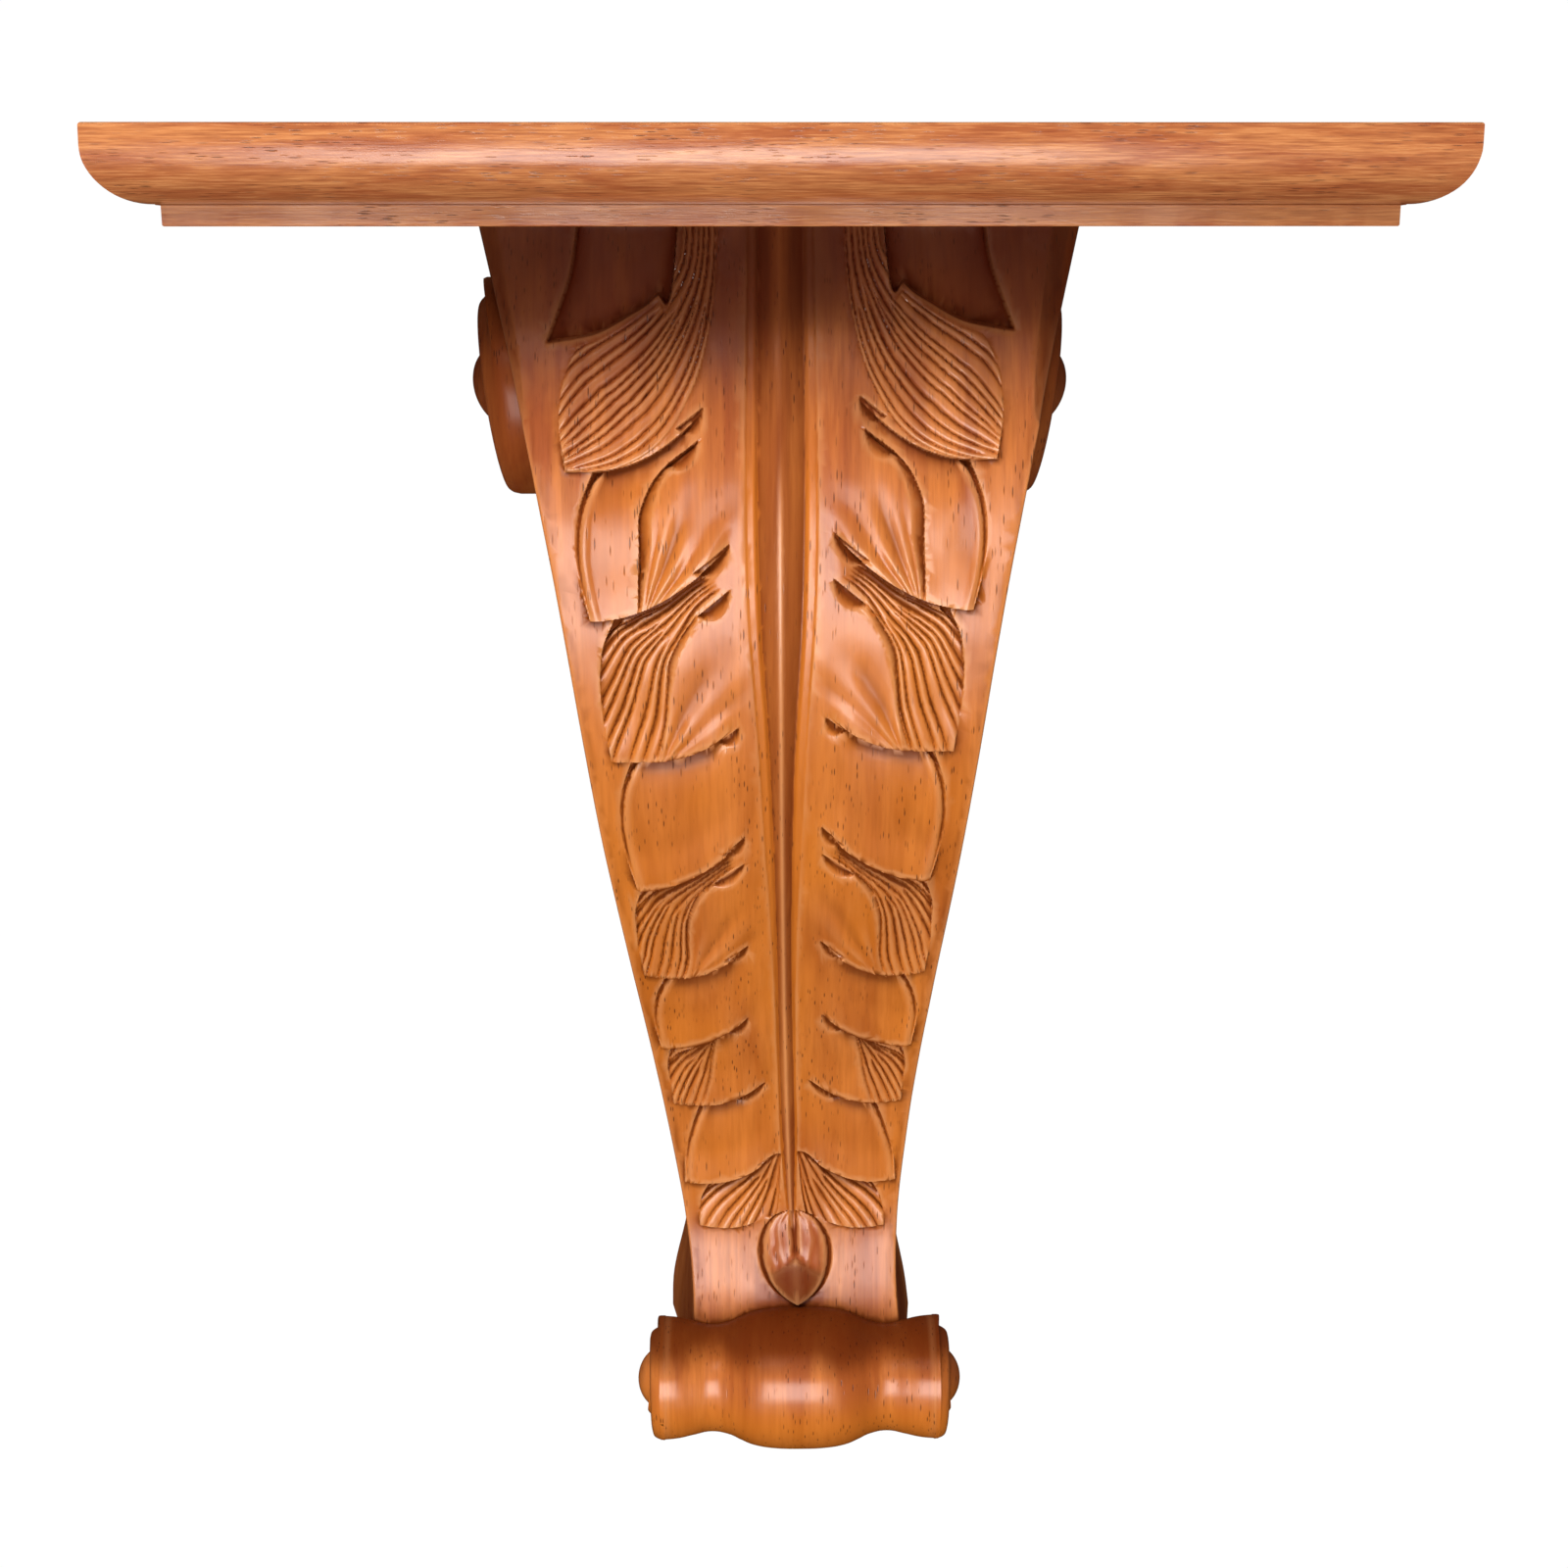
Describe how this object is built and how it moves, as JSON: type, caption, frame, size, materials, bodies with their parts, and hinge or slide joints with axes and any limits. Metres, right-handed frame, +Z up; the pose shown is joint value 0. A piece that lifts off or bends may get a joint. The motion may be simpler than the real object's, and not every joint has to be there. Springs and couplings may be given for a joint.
{
  "type": "carved shelf bracket",
  "caption": "Varnished wooden wall bracket: a moulded shelf board on a scroll-fronted corbel carved with a rib and leaves, with side volutes and a turned scroll roll at its foot.",
  "frame": {"origin": "on the corbel's flat back, on its centre line, 100 mm below the shelf board's underside, where the bracket is fixed to the wall", "axes": "+X along the shelf to the right as seen from the room, +Y into the wall, +Z up; the front looks along -Y"},
  "size_m": [0.43, 0.205, 0.5152],
  "materials": {
    "moulded_board": "varnished mahogany, satin gloss, worn edges",
    "carved_wood": "varnished carved mahogany, satin gloss, darker in the recesses"
  },
  "bodies": {
    "root": {"shelf_board": "moulded_board", "corbel": "carved_wood"}
  },
  "joints": []
}
